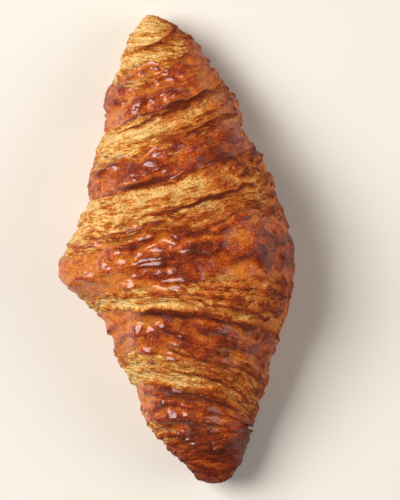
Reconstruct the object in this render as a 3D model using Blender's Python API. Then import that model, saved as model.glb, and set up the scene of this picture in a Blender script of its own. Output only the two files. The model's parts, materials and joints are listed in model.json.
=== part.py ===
"""A butter croissant, baked and cooled, lying on its flat base.

The dough is a long triangle rolled up from its wide end, so its two slanting edges wind round the roll as two
helices. Both start at the apex, a small tongue on the left flank, and run out to the two tips. Between one
turn of an edge and the next the pastry puffs up into a band, with a crease where the outer turn ends.

Metres, +Z up. +Y runs along the roll and +X across it. The origin is on the base, under the middle of the
bounding box.
"""

import math

import bmesh
import bpy
from mathutils import Vector

MM = 0.001

# Driving sizes.
LENGTH = 170 * MM
HEIGHT = 50 * MM
TIP_HEIGHT = 17 * MM

# How far each flank stands from the roll's axis: (station along +Y, distance), in millimetres.
RIGHT_FLANK = (
    (-85, 9),
    (-80, 11.8),
    (-72, 15.8),
    (-56, 22.1),
    (-40, 29.2),
    (-20, 37.6),
    (0, 40),
    (12, 38.7),
    (30, 32.4),
    (56, 23.6),
    (72, 16),
    (80, 10),
    (85, 5),
)
LEFT_FLANK = (
    (-85, 4.5),
    (-80, 7.6),
    (-72, 13.6),
    (-56, 20.8),
    (-40, 25),
    (-24, 29.8),
    (-8, 36.5),
    (4, 39.2),
    (14, 33),
    (30, 28.7),
    (40, 24.6),
    (56, 18.4),
    (72, 10),
    (80, 5.5),
    (85, 2.5),
)

# Height of the crown over the base, as a share of the way from the tips' height to the full height.
CROWN = ((0, 1), (20, 0.93), (40, 0.68), (60, 0.36), (76, 0.1), (85, 0))
BELT_SHARE = 0.43  # the widest line of a section, as a share of the crown's height
FLAT_DEPTH = 3.5 * MM  # how much of the round underside the baking tray has pressed flat
TIP_LIFT = 4 * MM  # the tips' undersides curl up off the tray by this much
TIP_ROUNDING = 40  # the power of the superellipse that closes the tips: higher is blunter
SECTION_TOP = 2.15  # superellipse powers of the section over and under the belt
SECTION_UNDER = 2.7

# The helices. Each list is where an edge crosses the left flank, one entry for each whole turn, in millimetres.
UPPER_TURNS = (-3, 22, 46, 70, 94)
LOWER_TURNS = (-3, -18, -46, -76, -104)
UPPER_RIGHT_SHARE = 0.47  # the part of a turn that an edge has made on reaching the right flank
LOWER_RIGHT_SHARE = 0.65
BLEND_REACH = 20 * MM  # the two shares blend over this distance on each side of the tongue
BOW_AT_TONGUE = 0.7  # an edge leaves the tongue steeply and levels off to the right by this power
BOW_OUTSIDE = 2.0  # a turn further out it runs level on the left and steepens to the right

# The bands' relief.
PUFF_RISE = 0.9 * MM
CREASE_DEPTH = 1.7 * MM
CREASE_WIDTH = 0.11  # of a band
STEP_DROP = 1.6 * MM  # how far an outer turn ends above the next one
TIP_RELIEF = 0.3  # the share of all this that is left at the tips
FIRST_CREASE = 0.35  # how deep the crease is where it leaves the tongue, against a turn further out

# The tongue, where the triangle's apex was stuck down.
TONGUE_STATION = -4.5 * MM
TONGUE_REACH = 6.6 * MM
TONGUE_HALF_WIDTH = 8 * MM
TONGUE_CUT = 1.15  # how much faster it ends on its lower side
TONGUE_SPREAD = math.radians(36)  # round the section
TONGUE_RISE = math.radians(8)  # over the belt
TONGUE_BLUNTNESS = 0.6  # the power of its dome: lower is blunter

RINGS = 108
SEGMENTS = 44

CRUST_COLOUR = (0.46, 0.17, 0.045, 1)
CRUST_ROUGHNESS = 0.42


def smoothstep(low, high, value):
    share = min(max((value - low) / (high - low), 0.0), 1.0)
    return share * share * (3 - 2 * share)


def mix(a, b, share):
    return a + (b - a) * share


def through(points, at):
    """The value at a station of a smooth curve through (station, value) points."""
    last = len(points) - 1
    at = min(max(at, points[0][0]), points[last][0])
    i = next(k for k in range(last) if at <= points[k + 1][0])

    def slope(k):
        before, after = points[max(k - 1, 0)], points[min(k + 1, last)]
        return (after[1] - before[1]) / (after[0] - before[0])

    (x0, y0), (x1, y1) = points[i], points[i + 1]
    span = x1 - x0
    t = (at - x0) / span
    rise = y1 - y0
    start, end = slope(i) * span, slope(i + 1) * span
    return y0 + t * (start + t * (3 * rise - 2 * start - end + t * (start + end - 2 * rise)))


def crown_height(y):
    return mix(TIP_HEIGHT, HEIGHT, through(CROWN, abs(y) / MM))


def tip_closing(y):
    """1 along the roll, falling to 0 at the very tips."""
    return math.sqrt(max(1 - abs(2 * y / LENGTH) ** TIP_ROUNDING, 0.0))


def turns_made(y):
    """How many turns an edge has made, counted on the left flank, where it crosses station y."""
    turns = UPPER_TURNS if y >= UPPER_TURNS[0] * MM else LOWER_TURNS
    along = abs(y / MM - turns[0])
    stations = [(abs(t - turns[0]), n) for n, t in enumerate(turns)]
    for (a, n), (b, _) in zip(stations, stations[1:]):
        if along <= b:
            return n + (along - a) / (b - a)
    return float(len(turns) - 1)


def right_share(y):
    start = UPPER_TURNS[0] * MM
    return mix(LOWER_RIGHT_SHARE, UPPER_RIGHT_SHARE, smoothstep(start - BLEND_REACH, start + BLEND_REACH, y))


def part_of_turn(angle, y):
    """The part of a turn from the left flank, over the crown, to this angle: 0 on the left and 1 back there."""
    rightward = (1 + math.cos(angle)) / 2
    share = right_share(y)
    if math.sin(angle) < 0:
        return share + (1 - share) * (1 - rightward)
    return share * rightward ** mix(BOW_AT_TONGUE, BOW_OUTSIDE, smoothstep(0, 1, turns_made(y)))


def ring_shear(angle, y):
    """How far a ring of the mesh leans along Y at this angle, so that it runs with the edges over the crown."""
    turns = UPPER_TURNS if y >= UPPER_TURNS[0] * MM else LOWER_TURNS
    pitch = (turns[2] - turns[1]) * MM
    away = min(turns_made(y), 1.0)
    to_tip = 1 - smoothstep(0.55, 1.0, abs(2 * y / LENGTH))
    return pitch * right_share(y) * ((1 + math.cos(angle)) / 2) ** BOW_OUTSIDE * away * to_tip


def relief(angle, y):
    """The bands: puffed in the middle, creased at the edges, and stepping down from each turn to the next."""
    band = (turns_made(y) - part_of_turn(angle, y)) % 1.0
    to_crease = min(band, 1 - band) / CREASE_WIDTH
    puff = PUFF_RISE * math.sin(math.pi * band**0.8)
    depth = CREASE_DEPTH * mix(FIRST_CREASE, 1, smoothstep(0.3, 1, turns_made(y)))
    crease = -depth * math.exp(-(to_crease**2))
    step = STEP_DROP * (band - 0.5)
    tip_fade = 1 - smoothstep(0.5, 0.9, abs(2 * y / LENGTH))
    return (puff + crease + step) * mix(TIP_RELIEF, 1, tip_fade)


def tongue(angle, y):
    """The tongue's height: a rounded tip on the left flank, cut off short on its lower side."""
    off_angle = math.remainder(angle - (math.pi - TONGUE_RISE), math.tau) / TONGUE_SPREAD
    off_station = (y - TONGUE_STATION) / TONGUE_HALF_WIDTH
    if off_station < 0:
        off_station *= TONGUE_CUT
    reach = off_angle**2 + off_station**2
    return TONGUE_REACH * max(1 - reach, 0.0) ** TONGUE_BLUNTNESS


def power(value, exponent):
    return math.copysign(abs(value) ** exponent, value)


def surface_point(angle, y):
    """The point of the crust at this angle (0 on the right, a quarter turn on the crown) and station."""
    y = min(max(y, -LENGTH / 2), LENGTH / 2)
    right = through(RIGHT_FLANK, y / MM) * MM
    left = through(LEFT_FLANK, y / MM) * MM
    closing = tip_closing(y)
    middle = (right - left) / 2
    half_width = (right + left) / 2 * closing
    crown = crown_height(y)
    keel = mix(-FLAT_DEPTH, TIP_LIFT, smoothstep(0.45, 1.0, abs(2 * y / LENGTH)))
    belt = mix(keel, crown, BELT_SHARE)
    over = math.sin(angle) >= 0
    reach = (crown - belt if over else belt - keel) * closing
    exponent = 2 / (SECTION_TOP if over else SECTION_UNDER)
    stuck_on = tongue(angle, y)
    swell = (mix(relief(angle, y), 0, stuck_on / TONGUE_REACH) + stuck_on) * closing
    x = middle + (half_width + swell) * power(math.cos(angle), exponent)
    z = belt + (reach + swell) * power(math.sin(angle), exponent)
    return x, y, max(z, 0.0)


def croissant_mesh():
    """A globe with its poles at the tips, its points moved out to the crust, centred across the origin."""
    globe = bmesh.new()
    bmesh.ops.create_uvsphere(globe, u_segments=SEGMENTS, v_segments=RINGS, radius=1)
    for vertex in globe.verts:
        across, up, along = vertex.co.x, vertex.co.y, -vertex.co.z
        angle = math.atan2(up, across)
        station = along * LENGTH / 2
        if math.hypot(across, up) > 1e-6:
            station += ring_shear(angle, station)
        vertex.co = surface_point(angle, station)
    across = [vertex.co.x for vertex in globe.verts]
    middle = Vector(((min(across) + max(across)) / 2, 0, 0))
    bmesh.ops.translate(globe, verts=globe.verts, vec=-middle)
    mesh = bpy.data.meshes.new("croissant")
    globe.to_mesh(mesh)
    globe.free()
    mesh.shade_smooth()
    return mesh


def crust_material():
    material = bpy.data.materials.new("crust")
    material.use_nodes = True
    shader = material.node_tree.nodes["Principled BSDF"]
    shader.inputs["Base Color"].default_value = CRUST_COLOUR
    shader.inputs["Roughness"].default_value = CRUST_ROUGHNESS
    shader.inputs["Metallic"].default_value = 0.0
    return material


def main():
    for old in list(bpy.data.objects):
        bpy.data.objects.remove(old)
    collection = bpy.data.collections.new("Croissant")
    bpy.context.scene.collection.children.link(collection)
    croissant = bpy.data.objects.new("croissant", croissant_mesh())
    croissant.data.materials.append(crust_material())
    collection.objects.link(croissant)


main()
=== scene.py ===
"""The looks of the croissant: its flaky, egg-washed crust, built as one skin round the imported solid."""

import json
import math

import bpy
import numpy as np
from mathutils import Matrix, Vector, noise
from mathutils.bvhtree import BVHTree

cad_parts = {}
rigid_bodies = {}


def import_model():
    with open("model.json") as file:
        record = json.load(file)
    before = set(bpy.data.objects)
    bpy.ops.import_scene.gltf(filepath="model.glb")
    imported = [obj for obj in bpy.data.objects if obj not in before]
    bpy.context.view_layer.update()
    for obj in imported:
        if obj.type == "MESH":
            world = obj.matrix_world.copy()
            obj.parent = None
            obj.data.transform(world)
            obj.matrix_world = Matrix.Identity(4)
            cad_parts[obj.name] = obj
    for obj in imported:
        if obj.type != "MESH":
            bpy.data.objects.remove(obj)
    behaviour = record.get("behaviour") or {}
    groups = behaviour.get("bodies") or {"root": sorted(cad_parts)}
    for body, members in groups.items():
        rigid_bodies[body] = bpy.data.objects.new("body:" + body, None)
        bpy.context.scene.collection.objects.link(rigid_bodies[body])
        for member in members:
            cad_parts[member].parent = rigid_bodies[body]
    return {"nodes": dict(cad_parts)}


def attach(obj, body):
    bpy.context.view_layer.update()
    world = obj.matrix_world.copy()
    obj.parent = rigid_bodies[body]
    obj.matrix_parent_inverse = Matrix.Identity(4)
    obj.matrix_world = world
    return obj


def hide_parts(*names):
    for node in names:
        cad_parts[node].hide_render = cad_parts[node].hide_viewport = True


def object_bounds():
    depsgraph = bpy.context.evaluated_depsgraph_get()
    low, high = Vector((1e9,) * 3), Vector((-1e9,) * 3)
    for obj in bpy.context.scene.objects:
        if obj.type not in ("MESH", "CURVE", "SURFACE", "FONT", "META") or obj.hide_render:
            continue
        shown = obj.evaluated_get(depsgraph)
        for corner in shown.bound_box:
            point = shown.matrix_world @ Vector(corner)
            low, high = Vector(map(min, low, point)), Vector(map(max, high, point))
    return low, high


MM = 0.001

# The skin's grid: rings along the roll and columns round it, denser over the crown than underneath.
RINGS = 470
COLUMNS_OVER = 168
COLUMNS_UNDER = 40
OVER_REACH = math.radians(14)  # the denser part goes this far under the belt on each side
CORE_SHARE = 0.86  # of the half length: past this, the rays fan out into the tip

# Where the two edges of the rolled triangle lie, as in the solid: their places on the left flank at each
# whole turn, in millimetres along the roll, and the part of a turn they have made at the right flank.
UPPER_TURNS = (-3, 22, 46, 70, 94)
LOWER_TURNS = (-3, -18, -46, -76, -104)
UPPER_RIGHT_SHARE = 0.47
LOWER_RIGHT_SHARE = 0.65
BLEND_REACH = 20
BOW_AT_TONGUE = 0.7
BOW_OUTSIDE = 2.0
UPPER_BAND = 24  # the bands' usual width, in millimetres
LOWER_BAND = 29

# How much of a band the egg wash covers past its crease: the band next to the tongue's, and the next one out.
UPPER_GLAZED = (0.52, 0.75)
LOWER_GLAZED = (0.6, 0.56)
GLAZE_BORDER = 0.15  # half the width of the soft border, as a part of a band

# The skin's relief: heights and depths in millimetres.
LUMPS = (0.9, 0.5)
FOLDS = 0.45
SHEETS = (0.7, 0.8, 0.4)  # stacked layers seen end on, coarse to fine
SHEETS_SUNK = 0.7
FLAKES = (0.38, 0.45)  # fine and coarse
GLAZE_THICKNESS = 0.3
GLAZE_FLAKES = 0.13
GLAZE_WRINKLES = (0.42, 0.2)
GLAZE_FACETS = 1.5
VALLEY_DEPTH = 2.0
GROOVE_DEPTH = 1.8
LIP_HEIGHT = 0.6
LIP_OVERHANG = 0.4
SPLIT_DEPTH = 1.8
QUIET_TIP_RINGS = 14  # the relief fades out over this many rings at each tip


def smoothstep(low, high, value):
    share = np.clip((value - low) / (high - low), 0, 1)
    return share * share * (3 - 2 * share)


def mix(a, b, share):
    return a + (b - a) * share


def bump(value, centre, width):
    return np.exp(-(((value - centre) / width) ** 2))


# ---------------------------------------------------------------- the skin's grid


def ray_hit(tree, origin, direction):
    """Where a ray from inside the solid leaves it."""
    return tree.ray_cast(Vector(origin), Vector(direction))[0]


def core_line(tree, half_length):
    """Stations along the roll, with the middle of the solid's section at each."""
    stations = np.linspace(-CORE_SHARE, CORE_SHARE, 41) * half_length
    middles = []
    for y in stations:
        top = ray_hit(tree, (0, y, 8 * MM), (0, 0, 1)).z
        bottom = ray_hit(tree, (0, y, 8 * MM), (0, 0, -1)).z
        z = mix(bottom, top, 0.42)
        right = ray_hit(tree, (0, y, z), (1, 0, 0)).x
        left = ray_hit(tree, (0, y, z), (-1, 0, 0)).x
        middles.append(((left + right) / 2, z))
    middles = np.array(middles)
    smooth = np.polynomial.polynomial.polyfit(stations, middles, 6)
    return lambda y: np.polynomial.polynomial.polyval(y, smooth).T


def column_angles():
    """The columns' angles round the section: 0 on the right, a quarter turn over the crown."""
    over = np.linspace(-OVER_REACH, math.pi + OVER_REACH, COLUMNS_OVER, endpoint=False)
    under = np.linspace(math.pi + OVER_REACH, math.tau - OVER_REACH, COLUMNS_UNDER, endpoint=False)
    even = np.concatenate([over, under])
    return np.arctan2(27 * np.sin(even), 40 * np.cos(even))


def turns_made(y_mm):
    """How many turns an edge has made, counted on the left flank, where it crosses this station."""
    up = np.interp(y_mm, UPPER_TURNS, range(len(UPPER_TURNS)))
    down = np.interp(-y_mm, [-y for y in LOWER_TURNS], range(len(LOWER_TURNS)))
    return np.where(y_mm >= UPPER_TURNS[0], up, down)


def right_share(y_mm):
    start = UPPER_TURNS[0]
    upward = smoothstep(start - BLEND_REACH, start + BLEND_REACH, y_mm)
    return mix(LOWER_RIGHT_SHARE, UPPER_RIGHT_SHARE, upward)


def part_of_turn(angle, y_mm):
    """The part of a turn from the left flank, over the crown, to this angle."""
    rightward = (1 + np.cos(angle)) / 2
    share = right_share(y_mm)
    bow = mix(BOW_AT_TONGUE, BOW_OUTSIDE, smoothstep(0, 1, turns_made(y_mm)))
    return np.where(np.sin(angle) >= 0, share * rightward**bow, share + (1 - share) * (1 - rightward))


def ring_shear(angle, y_mm, half_mm):
    """How far a ring leans along the roll, so that over the crown it runs with the edges."""
    pitch = np.where(y_mm >= UPPER_TURNS[0], UPPER_TURNS[2] - UPPER_TURNS[1], LOWER_TURNS[2] - LOWER_TURNS[1])
    away = np.minimum(turns_made(y_mm), 1)
    to_tip = 1 - smoothstep(0.5, CORE_SHARE, np.abs(y_mm / half_mm))
    return pitch * right_share(y_mm) * ((1 + np.cos(angle)) / 2) ** BOW_OUTSIDE * away * to_tip


def cast_skin(node, low, high):
    """The solid's surface on the grid (ring, column, xyz), the columns' angles and the rings' stations."""
    tree = BVHTree.FromPolygons([v.co for v in node.data.vertices], [p.vertices for p in node.data.polygons])
    half = (high.y - low.y) / 2
    core = core_line(tree, half)
    core_half = CORE_SHARE * half
    tip_arc = (half - core_half) * 1.5
    along = np.linspace(-1, 1, RINGS + 2)[1:-1] * (core_half + tip_arc)
    angles = column_angles()
    skin = np.empty((RINGS, len(angles), 3))
    for i, place in enumerate(along):
        fan = max(abs(place) - core_half, 0) / tip_arc * math.pi / 2
        for j, angle in enumerate(angles):
            base = math.copysign(min(abs(place), core_half), place)
            y = base + float(ring_shear(angle, base / MM, half / MM)) * MM
            y = math.copysign(min(abs(y), core_half), y)
            x, z = core(y)
            out = math.cos(fan)
            way = (out * math.cos(angle), math.copysign(math.sin(fan), place), out * math.sin(angle))
            skin[i, j] = ray_hit(tree, (x, y, z), way)
    return skin, angles, along


# ---------------------------------------------------------------- fields over the skin


def blur(grid, rings, columns):
    """The grid smoothed by a bell curve, this many rings and columns wide, and closed round each ring."""
    for axis, width in ((0, rings), (1, columns)):
        reach = int(3 * width + 1)
        weights = bump(np.arange(-reach, reach + 1), 0, width * math.sqrt(2))
        weights /= weights.sum()
        pad = [(0, 0)] * grid.ndim
        pad[axis] = (reach, reach)
        padded = np.pad(grid, pad, mode="edge" if axis == 0 else "wrap")
        length = grid.shape[axis]
        grid = sum(w * np.take(padded, range(k, k + length), axis) for k, w in enumerate(weights))
    return grid


def normals(skin):
    """The outward unit normal at each point of the grid."""
    along = np.gradient(skin, axis=0)
    round_it = np.roll(skin, -1, 1) - np.roll(skin, 1, 1)
    across = np.cross(round_it, along)
    return across / np.linalg.norm(across, axis=-1, keepdims=True)


def ripple(places, size, seed):
    """Smooth noise, about -1 to 1, whose bumps have this (x, y, z) size in the places' unit."""
    scaled = (places.reshape(-1, 3) / size + seed * 11.7).tolist()
    return np.array([noise.noise(place) for place in scaled]).reshape(places.shape[:-1]) * 1.6


class Fields:
    """What the looks depend on at each point of the skin, all lengths in millimetres.

    side goes from -1 on the left flank to 1 on the right, and over is true above the belt. wrap counts the
    turns of the dough out from the tongue, and band is the part of the way from one crease to the next.
    layers are places warped so that noise drawn out along them runs with the layers of the dough.
    """

    def __init__(self, skin, angles, stations):
        self.place = skin / MM
        self.x, self.y, self.z = np.moveaxis(self.place, -1, 0)
        right = self.place[:, np.argmin(np.abs(angles))]
        left = self.place[:, np.argmin(np.abs(angles - math.pi))]
        flank_right = np.interp(self.y, right[:, 1], right[:, 0])
        flank_left = np.interp(self.y, left[:, 1], left[:, 0])
        self.side = np.clip((2 * self.x - flank_right - flank_left) / (flank_right - flank_left), -1, 1)
        self.over = self.z >= np.interp(self.y, right[:, 1], right[:, 2])
        angle = np.where(self.over, 1, -1) * np.arccos(self.side)
        self.upper = self.y >= UPPER_TURNS[0]
        self.turns = turns_made(self.y)
        whole = self.turns - part_of_turn(angle, self.y)
        self.wrap = np.floor(whole) + (~self.over & (self.side < 0))
        self.band = whole - np.floor(whole)
        self.pitch = np.where(self.upper, UPPER_BAND, LOWER_BAND)
        self.to_tip = np.abs(self.y) / np.abs(self.y).max()
        self.off_base = smoothstep(0.5, 9, self.z)
        self.layers = np.stack([self.x, np.broadcast_to(stations[:, None] / MM, self.x.shape), self.z], -1)
        warp = ripple(self.place, (15, 15, 15), 12) * 1.1 + ripple(self.place, (5, 5, 5), 13) * 0.4
        self.layers[..., 1] += warp


def glaze_cover(f):
    """Where the egg wash has set to a glossy skin: 1 on it, 0 on the bare cut layers, 0.5 at its border."""
    streaks = ripple(f.layers, (16, 2.4, 16), 1) * 0.6 + ripple(f.layers, (5, 1.3, 5), 2) * 0.5
    patches = ripple(f.place, (9, 9, 9), 3)
    rag = streaks * 0.22 + patches * 0.16
    right = np.maximum(f.side, 0)
    centre_limit = np.where(f.upper, 0.42 + 0.05 * f.side, 0.55 + 0.3 * right)
    centre = centre_limit - f.turns + rag
    outer_band = (f.turns >= 2.0).astype(int)
    share = np.where(f.upper, np.take(UPPER_GLAZED, outer_band), np.take(LOWER_GLAZED, outer_band))
    outer = np.where((f.wrap >= 1) & (f.wrap < 3), share - f.band + rag, -1)
    cover = smoothstep(-GLAZE_BORDER, GLAZE_BORDER, np.maximum(centre, outer))
    return cover * smoothstep(1, 8, f.z + 3 * streaks)


def crease_lines(f):
    """The creases where a turn of the edge ends: (broad valley, sharp groove, lip), shallow on the flanks."""
    wander = ripple(f.place, (14, 14, 14), 4) * 0.8 + ripple(f.place, (4, 4, 4), 5) * 0.6
    outward = np.where(f.band > 0.5, f.band - 1, f.band) * f.pitch + wander
    strength = np.where(f.turns < 1, 0.3 * smoothstep(0.2, 0.9, f.turns), 1)
    strength = strength * (1 - 0.6 * smoothstep(0.8, 0.95, f.to_tip))
    uneven = np.clip(0.65 + 0.8 * ripple(f.place, (11, 11, 11), 6), 0.05, 1.3)
    valley = bump(outward, 0.8, 2.7) * strength
    inner = 1 - smoothstep(0.5, 0.85, np.abs(f.side))
    groove = bump(outward, 0.5, 1.0 + 0.5 * uneven) * strength * uneven * mix(0.1, 1, inner)
    return valley * mix(0.25, 1, inner), groove, bump(outward, -2.4, 2.2) * strength * uneven * inner


# Splits where steam has torn the layers apart: (upper half?, the wrap and part of a band where it lies, half
# its width in millimetres, where it is deepest from -1 on the left to 1 on the right, its reach on that
# scale, and its share of the full depth).
SPLITS = (
    (True, 0.55, 0.7, 0.25, 0.55, 1.0),
    (True, 0.40, 0.5, -0.45, 0.35, 0.5),
    (True, 1.93, 0.6, -0.2, 0.6, 0.8),
    (True, 1.62, 0.45, 0.5, 0.4, 0.5),
    (False, 0.50, 0.5, 0.6, 0.5, 0.6),
    (False, 0.72, 0.5, -0.3, 0.5, 0.5),
    (False, 0.85, 0.45, 0.4, 0.5, 0.5),
    (False, 1.80, 0.5, 0.1, 0.5, 0.6),
)


def split_lines(f):
    """The splits, 0 to 1."""
    whole = f.wrap + f.band
    wander = ripple(f.place, (12, 12, 12), 7) * 0.9 + ripple(f.place, (3, 3, 3), 8) * 0.4
    total = np.zeros_like(f.x)
    for upper, at, width, side, reach, depth in SPLITS:
        here = (f.upper == upper) * bump((whole - at) * f.pitch + wander, 0, width)
        total = np.maximum(total, here * bump(f.side, side, reach) * depth)
    return total


def sheets(f, pitch, seed):
    """Thin stacked layers seen end on: each rises gently and drops at its edge, 0 to 1."""
    phase = f.layers[..., 1] / pitch + 0.6 * ripple(f.layers, (14, 4 * pitch, 14), seed)
    rise = phase - np.floor(phase)
    return rise**1.6 * (1 - smoothstep(0.84, 1.0, rise))


SCATTER = (12.9898, 78.233, 37.719)  # turns a flake's place into a number that looks drawn at random
SCATTER_SCALE = 43758.5453


def shingles(f, size, seed):
    """Small broken flakes that overlap: (height and tilt of each, a random shade for each), about -1 to 1."""
    places = (f.layers.reshape(-1, 3) / size + seed * 7.3).tolist()
    centres = np.array([noise.voronoi(place)[1][0] for place in places])
    offset = np.array(places) - centres
    codes = np.modf(np.abs(np.sin(centres @ SCATTER)) * SCATTER_SCALE)[0]
    other = np.modf(codes * 97.13)[0]
    tilt = (codes - 0.5) * 1.4 * offset[:, 0] + (other - 0.2) * 1.6 * offset[:, 1]
    height = (codes - 0.5) * 0.9 + tilt
    return height.reshape(f.x.shape), (other * 2 - 1).reshape(f.x.shape)


def ridges(f, size, seed):
    """Long sharp-topped folds along the layers, -1 to 1."""
    return 1 - 2 * np.abs(ripple(f.layers, size, seed))


def relief(f, hard_glaze, valley, groove, lip, split):
    """How far each point moves out, in millimetres, its painted light and shade (-1 to 1: shade in recesses,
    light on raised flakes), and its flake's shade.
    """
    bare = 1 - hard_glaze
    lumps = ripple(f.place, (17, 17, 17), 10) * LUMPS[0] + ripple(f.place, (7, 7, 7), 11) * LUMPS[1]
    folds = ridges(f, (20, 6.5, 20), 25) * FOLDS
    torn = 0.3 + 0.7 * smoothstep(-0.5, 0.4, ripple(f.layers, (12, 5, 12), 14))
    stack = sheets(f, 5.0, 28) * SHEETS[0] + sheets(f, 2.8, 15) * SHEETS[1] + sheets(f, 1.6, 16) * SHEETS[2]
    broken, shade = shingles(f, (2.8, 1.2, 2.8), 17)
    coarse, coarse_shade = shingles(f, (7, 2.8, 7), 18)
    flaky = (stack - SHEETS_SUNK) * torn + FLAKES[0] * broken + FLAKES[1] * coarse
    wrinkled = smoothstep(-0.3, 0.4, ripple(f.place, (15, 9, 15), 20))
    wrinkles = ridges(f, (10, 2.6, 10), 19) * GLAZE_WRINKLES[0]
    wrinkles += ridges(f, (5, 1.7, 5), 26) * GLAZE_WRINKLES[1]
    blistered = smoothstep(-0.2, 0.4, ripple(f.place, (12, 12, 12), 22))
    blisters = np.maximum(ripple(f.place, (3.4, 3.4, 3.4), 21) - 0.1, 0) * blistered
    soft = ripple(f.place, (5, 5, 5), 23) * 0.3 + ripple(f.place, (2.0, 2.0, 2.0), 24) * 0.16
    facets, _ = shingles(f, (11, 5.5, 11), 27)
    skin = GLAZE_THICKNESS + GLAZE_FLAKES * broken + 0.65 * wrinkles * wrinkled + 0.8 * blisters + soft
    skin += GLAZE_FACETS * blur(facets, 1.3, 1.1)
    fine = flaky * bare + skin * hard_glaze
    creased = LIP_HEIGHT * lip - VALLEY_DEPTH * valley - GROOVE_DEPTH * groove - SPLIT_DEPTH * split
    from_end = np.minimum(np.arange(RINGS), np.arange(RINGS)[::-1])[:, None]
    depth = (lumps + folds + fine + creased) * f.off_base * smoothstep(0, QUIET_TIP_RINGS, from_end)
    # How far each point stands out of its surroundings; the material paints shade into the recesses and light
    # onto the raised flakes with it.
    painted_relief_shade = np.clip((depth - blur(depth, 4, 2)) / 0.6 + (depth - blur(depth, 10, 6)) / 6.0, -1, 1)
    return depth, painted_relief_shade, shade * 0.5 + coarse_shade * 0.5


def build_skin(skin, attributes, depth, overhang):
    """The closed mesh: the grid moved out by the relief, with a point in the middle of each end ring."""
    moved = skin + normals(skin) * depth[..., None] * MM
    moved[..., 1] += overhang * MM
    moved[..., 2] = np.maximum(moved[..., 2], 0)
    rings, columns = moved.shape[:2]
    points = np.concatenate([moved.reshape(-1, 3), moved[[0, -1]].mean(1)])
    index = np.arange(rings * columns).reshape(rings, columns)
    after = np.roll(index, -1, 1)
    quads = np.stack([index[:-1], after[:-1], after[1:], index[1:]], -1).reshape(-1, 4)
    first = [(rings * columns, b, a) for a, b in zip(index[0], after[0])]
    last = [(rings * columns + 1, a, b) for a, b in zip(index[-1], after[-1])]
    mesh = bpy.data.meshes.new("crust")
    mesh.from_pydata(points.tolist(), [], quads.tolist() + first + last)
    mesh.shade_smooth()
    for name, values in attributes.items():
        kind = "FLOAT_VECTOR" if values.ndim == 3 else "FLOAT"
        field = "vector" if values.ndim == 3 else "value"
        ends = values[[0, -1]].mean(1)
        flat = np.concatenate([values.reshape(rings * columns, -1), ends.reshape(2, -1)])
        mesh.attributes.new(name, kind, "POINT").data.foreach_set(field, flat.ravel())
    crust = bpy.data.objects.new("crust", mesh)
    bpy.context.scene.collection.objects.link(crust)
    return crust


# ---------------------------------------------------------------- the material


def linear(red, green, blue):
    """A colour picked as sRGB numbers out of 255, turned to the linear values that Blender takes."""
    shares = (red / 255, green / 255, blue / 255)
    return (*[c / 12.92 if c <= 0.04045 else ((c + 0.055) / 1.055) ** 2.4 for c in shares], 1)


STRAW = linear(250, 210, 138)
PALE_GOLD = linear(240, 178, 86)
GOLD = linear(218, 124, 40)
TAN = linear(204, 106, 38)
AMBER = linear(190, 84, 22)
TOAST = linear(144, 50, 12)
DARK_LAYER = linear(96, 28, 7)
ORANGE_GLAZE = linear(204, 96, 26)
RED_GLAZE = linear(174, 62, 10)
MAHOGANY = linear(128, 36, 6)
DARK_GLAZE = linear(86, 22, 5)
# A dark red-brown painted as shade into the creases and splits.
CREASE_SHADE = linear(100, 28, 7)
BASE_BROWN = linear(150, 84, 40)
WARM_SHINE = linear(255, 206, 180)

DRY_ROUGHNESS = 0.6
GLAZE_ROUGHNESS = 0.3
SPECULAR_LEVEL = 0.35
COAT_WEIGHT = 0.85
COAT_ROUGHNESS = 0.16
SUBSURFACE_WEIGHT = 0.1
SUBSURFACE_SCALE = 1.5 * MM
BUMP_DISTANCE = 1.3 * MM


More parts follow.
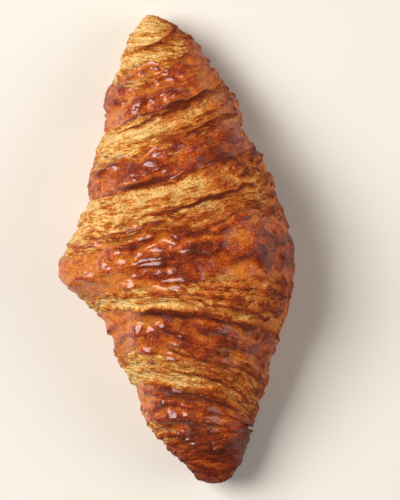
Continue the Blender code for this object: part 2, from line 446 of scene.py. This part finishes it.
class Nodes:
    """A short way to write a material's nodes."""

    def __init__(self, name):
        self.material = bpy.data.materials.new(name)
        self.material.use_nodes = True
        self.tree = self.material.node_tree
        self.shader = self.tree.nodes["Principled BSDF"]

    def put(self, socket, value):
        if isinstance(value, bpy.types.NodeSocket):
            self.tree.links.new(value, socket)
        else:
            socket.default_value = value

    def add(self, kind, **settings):
        node = self.tree.nodes.new(kind)
        for name, value in settings.items():
            setattr(node, name, value)
        return node

    def math(self, operation, a, b=0.0):
        node = self.add("ShaderNodeMath", operation=operation)
        self.put(node.inputs[0], a)
        self.put(node.inputs[1], b)
        return node.outputs[0]

    def centred(self, value):
        return self.math("SUBTRACT", value, 0.5)

    def total(self, start, *terms):
        """The start plus each (value, weight) term."""
        result = start
        for value, weight in terms:
            node = self.add("ShaderNodeMath", operation="MULTIPLY_ADD")
            for socket, number in zip(node.inputs, (value, weight, result)):
                self.put(socket, number)
            result = node.outputs[0]
        return result

    def attribute(self, name, output="Fac"):
        return self.add("ShaderNodeAttribute", attribute_name=name).outputs[output]

    def noise(self, vector, scale, detail=2.0, roughness=0.5):
        stretch = self.add("ShaderNodeVectorMath", operation="MULTIPLY")
        self.put(stretch.inputs[0], vector)
        self.put(stretch.inputs[1], scale)
        node = self.add("ShaderNodeTexNoise")
        self.put(node.inputs["Vector"], stretch.outputs[0])
        self.put(node.inputs["Scale"], 1.0)
        self.put(node.inputs["Detail"], detail)
        self.put(node.inputs["Roughness"], roughness)
        return node.outputs["Fac"]

    def ramp(self, value, *stops):
        node = self.add("ShaderNodeValToRGB")
        self.put(node.inputs[0], value)
        elements = node.color_ramp.elements
        while len(elements) < len(stops):
            elements.new(0.5)
        for element, (at, colour) in zip(elements, stops):
            element.position = at
            element.color = colour
        return node.outputs[0]

    def level(self, value, low, high, to_low=0.0, to_high=1.0):
        node = self.add("ShaderNodeMapRange", interpolation_type="SMOOTHSTEP")
        for socket, number in zip(node.inputs, (value, low, high, to_low, to_high)):
            self.put(socket, number)
        return node.outputs[0]

    def blend_number(self, share, a, b):
        node = self.add("ShaderNodeMix", data_type="FLOAT")
        self.put(node.inputs[0], share)
        self.put(node.inputs[2], a)
        self.put(node.inputs[3], b)
        return node.outputs[0]

    def blend(self, share, a, b):
        node = self.add("ShaderNodeMix", data_type="RGBA")
        self.put(node.inputs[0], share)
        self.put(node.inputs[6], a)
        self.put(node.inputs[7], b)
        return node.outputs[2]


def crust_material():
    """Bare layers, pale to dark by the bake and by painted shade towards the right flank, under an egg-wash
    gloss whose colour deepens with its depth, with painted shade in recesses and creases and painted light on
    raised flakes.
    """
    n = Nodes("crust")
    grain = n.attribute("grain", "Vector")
    place = n.attribute("place", "Vector")
    glaze = n.attribute("glaze")
    painted_relief_shade = n.attribute("painted_relief_shade")
    sheen = n.attribute("sheen")
    shade = n.attribute("shade")
    bake_and_side_shade = n.attribute("bake_and_side_shade")
    wash = n.attribute("wash")
    painted_crease_shade = n.attribute("painted_crease_shade")
    base = n.attribute("base")

    streaks = n.centred(n.noise(grain, (0.14, 1.3, 0.14), 4, 0.65))
    dashes = n.centred(n.noise(grain, (0.5, 2.4, 0.5), 3, 0.65))
    specks = n.centred(n.noise(place, (1.5, 1.5, 1.5), 4, 0.75))
    clouds = n.centred(n.noise(place, (0.13, 0.13, 0.13), 3, 0.5))
    contour = n.math("ABSOLUTE", n.centred(n.noise(grain, (0.14, 0.75, 0.14), 3, 0.6)))
    cracks = n.level(contour, 0.0, 0.035, 1.0, 0.0)
    crackle = n.math("ABSOLUTE", n.centred(n.noise(place, (0.42, 0.42, 0.42), 3, 0.6)))
    crazing = n.level(crackle, 0.0, 0.022, 1.0, 0.0)

    # The tone is lifted on raised flakes and lowered in recesses, which is painted light and painted shade,
    # and lowered towards the right flank through the bake, which is partly painted shade.
    tone = n.total(
        0.75,
        (bake_and_side_shade, -0.4),
        (streaks, 1.0),
        (dashes, 1.1),
        (specks, 1.6),
        (shade, 0.12),
        (painted_relief_shade, 0.32),
        (clouds, 0.7),
        (cracks, -0.26),
    )
    # The dark ramp takes over as the bake rises, so the right flank's darker layers are partly painted shade.
    light = n.ramp(tone, (0.1, TOAST), (0.3, AMBER), (0.5, GOLD), (0.7, PALE_GOLD), (0.92, STRAW))
    dark = n.ramp(tone, (0.12, DARK_LAYER), (0.28, TOAST), (0.44, AMBER), (0.62, TAN), (0.84, PALE_GOLD))
    dry = n.blend(bake_and_side_shade, light, dark)

    # The egg wash is painted deeper in recesses and paler on raised spots: painted shade and painted light.
    depth = n.total(
        0.0,
        (wash, 1.0),
        (clouds, 1.0),
        (specks, 2.3),
        (streaks, 0.9),
        (dashes, 0.6),
        (shade, 0.1),
        (painted_relief_shade, -0.35),
        (crazing, 0.16),
    )
    gloss = n.ramp(
        depth,
        (0.0, GOLD),
        (0.15, ORANGE_GLAZE),
        (0.38, RED_GLAZE),
        (0.66, MAHOGANY),
        (1.0, DARK_GLAZE),
    )

    patches = n.centred(n.noise(place, (0.3, 0.3, 0.3), 4, 0.6))
    thin = n.total(-0.06, (bake_and_side_shade, 0.12), (wash, 0.2), (patches, 1.0), (streaks, 0.9))
    thin_glaze = n.level(thin, 0.0, 0.14, 0.0, 0.75)
    dry = n.blend(thin_glaze, dry, gloss)

    worn = n.level(n.total(0.0, (glaze, 1.0), (streaks, 1.7), (specks, 1.2), (shade, 0.12)), 0.4, 0.56)
    # The gold flecks lean a little towards raised spots, a touch of painted light.
    flaked = n.total(0.0, (streaks, 0.6), (dashes, 0.9), (specks, 1.3), (painted_relief_shade, 0.08))
    flecks = n.level(flaked, 0.17, 0.3, 0.0, 0.8)
    gloss = n.blend(flecks, gloss, GOLD)
    colour = n.blend(worn, dry, gloss)
    # Painted shade in the creases and splits.
    colour = n.blend(n.level(painted_crease_shade, 0.15, 0.8), colour, CREASE_SHADE)
    colour = n.blend(base, colour, BASE_BROWN)
    n.put(n.shader.inputs["Base Color"], colour)

    n.put(n.shader.inputs["Roughness"], n.level(worn, 0, 1, DRY_ROUGHNESS, GLAZE_ROUGHNESS))
    n.put(n.shader.inputs["Specular IOR Level"], SPECULAR_LEVEL)
    n.put(n.shader.inputs["Specular Tint"], WARM_SHINE)
    coated = n.math("MULTIPLY", worn, sheen)
    n.put(n.shader.inputs["Coat Weight"], n.math("MULTIPLY", coated, COAT_WEIGHT))
    n.put(n.shader.inputs["Coat Roughness"], COAT_ROUGHNESS)
    n.put(n.shader.inputs["Subsurface Weight"], SUBSURFACE_WEIGHT)
    n.put(n.shader.inputs["Subsurface Radius"], (1.0, 0.4, 0.15))
    n.put(n.shader.inputs["Subsurface Scale"], SUBSURFACE_SCALE)

    fibres = n.noise(grain, (0.35, 1.3, 0.35), 3, 0.6)
    grit = n.noise(place, (1.1, 1.1, 1.1), 3, 0.6)
    bumps = n.add("ShaderNodeBump")
    n.put(bumps.inputs["Strength"], 1.0)
    n.put(bumps.inputs["Distance"], BUMP_DISTANCE)
    rough = n.total(0.0, (fibres, 1.0), (grit, 0.7), (cracks, -0.15))
    smooth = n.total(0.0, (fibres, 0.35), (grit, 0.35), (crazing, -0.15))
    height = n.blend_number(worn, rough, smooth)
    n.put(bumps.inputs["Height"], height)
    n.put(n.shader.inputs["Normal"], bumps.outputs[0])
    return n.material


# ---------------------------------------------------------------- the studio


FLOOR_CREAM = linear(236, 229, 216)
FLOOR_ROUGHNESS = 0.6
FLOOR_SIZE = 3
FLOOR_GAP = 0.2 * MM
SURROUND_STRENGTH = 0.1
KEY_PLACE, KEY_SIZE, KEY_ENERGY = (-0.98, 0.44, 1.24), 1.0, 33
FILL_PLACE, FILL_SIZE, FILL_ENERGY = (1.3, -0.1, 0.75), 1.2, 11
LENS = 237.6
CAMERA_PLACE = (0.009, -0.0009, 1.2)
CAMERA_TURN = math.radians(-7.58)


def soft_lamp(name, place, size, energy):
    """A large square lamp that faces the croissant."""
    light = bpy.data.lights.new(name, "AREA")
    light.shape = "SQUARE"
    light.size = size
    light.energy = energy
    lamp = bpy.data.objects.new(name, light)
    lamp.location = place
    lamp.rotation_euler = (Vector((0, 0, 0.02)) - lamp.location).to_track_quat("-Z", "Y").to_euler()
    bpy.context.scene.collection.objects.link(lamp)


def studio(low):
    """A pale floor, a large soft lamp on the left, a weak one on the right, and the camera straight above."""
    scene = bpy.context.scene
    scene.view_settings.view_transform = "Standard"
    bpy.ops.mesh.primitive_plane_add(size=FLOOR_SIZE, location=(0, 0, low.z - FLOOR_GAP))
    floor = bpy.context.object
    floor.name = "floor"
    paint = Nodes("floor")
    paint.put(paint.shader.inputs["Base Color"], FLOOR_CREAM)
    paint.put(paint.shader.inputs["Roughness"], FLOOR_ROUGHNESS)
    floor.data.materials.append(paint.material)

    world = bpy.data.worlds.new("surround")
    world.use_nodes = True
    world.node_tree.nodes["Background"].inputs["Color"].default_value = (1, 1, 1, 1)
    world.node_tree.nodes["Background"].inputs["Strength"].default_value = SURROUND_STRENGTH
    scene.world = world

    soft_lamp("key", KEY_PLACE, KEY_SIZE, KEY_ENERGY)
    soft_lamp("fill", FILL_PLACE, FILL_SIZE, FILL_ENERGY)

    lens = bpy.data.cameras.new("camera")
    lens.lens = LENS
    camera = bpy.data.objects.new("camera", lens)
    camera.location = CAMERA_PLACE
    camera.rotation_euler = (0, 0, CAMERA_TURN)
    scene.collection.objects.link(camera)
    scene.camera = camera


def crust_attributes(f, glaze, groove, split, painted_relief_shade, shade):
    """The values that the material reads at each point of the skin."""
    uneven = ripple(f.place, (16, 16, 16), 30)
    ends = 1.1 * smoothstep(58, 76, -f.y) - 0.4 * smoothstep(50, 68, f.y)
    # The bake is browner at the lower tip and paler at the upper tip; its rise towards the right flank is
    # partly browning and partly painted shade on the side away from the key lamp.
    bake_and_side_shade = np.clip(0.44 + 0.56 * f.side + 0.3 * uneven + ends, -0.4, 1.5)
    inside = blur(glaze, 5, 4)
    tongue = bump(f.y, -5, 16) * smoothstep(-0.2, -0.5, f.side)
    deep = mix(0.2, 0.6, smoothstep(-0.9, -0.3, f.side)) - 0.5 * tongue - 0.2 * smoothstep(0.1, 0.7, f.side)
    wash = np.clip(deep * inside + 0.22 * uneven + 0.6 * np.maximum(ends, 0), 0, 1)
    to_right = 1 - 0.75 * smoothstep(0.1, 0.6, f.side)
    to_flanks = 1 - 0.7 * smoothstep(0.75, 1.0, np.abs(f.side))
    sheen = (1 - groove) * to_right * to_flanks * f.over
    return {
        "glaze": glaze,
        "painted_relief_shade": painted_relief_shade,
        "sheen": sheen,
        "shade": shade,
        "bake_and_side_shade": bake_and_side_shade,
        "wash": wash,
        # painted shade in the creases and splits
        "painted_crease_shade": np.maximum(groove, split),
        "base": 1 - smoothstep(0.2, 3, f.z),
        "grain": f.layers,
        "place": f.place,
    }


def main():
    for old in list(bpy.data.objects):
        bpy.data.objects.remove(old)
    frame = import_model()
    cad_low, cad_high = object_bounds()
    skin, angles, stations = cast_skin(frame["nodes"]["croissant"], cad_low, cad_high)
    to_tip = smoothstep(0.9, 0.99, np.abs(skin[..., 1:2]) / cad_high.y)
    skin = mix(blur(skin, 5.0, 3.0), blur(skin, 0.8, 2.0), to_tip)
    f = Fields(skin, angles, stations)
    glaze = blur(glaze_cover(f), 0.6, 0.5)
    hard_glaze = blur(smoothstep(0.42, 0.58, glaze), 0.7, 0.5)
    valley, groove, lip = crease_lines(f)
    split = split_lines(f)
    depth, painted_relief_shade, shade = relief(f, hard_glaze, valley, groove, lip, split)
    attributes = crust_attributes(f, glaze, groove, split, painted_relief_shade, shade)
    overhang = lip * np.sign(f.y) * LIP_OVERHANG * f.over
    crust = build_skin(skin, attributes, depth, overhang)
    crust.data.materials.append(crust_material())
    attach(crust, "root")
    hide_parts("croissant")
    studio(cad_low)


main()
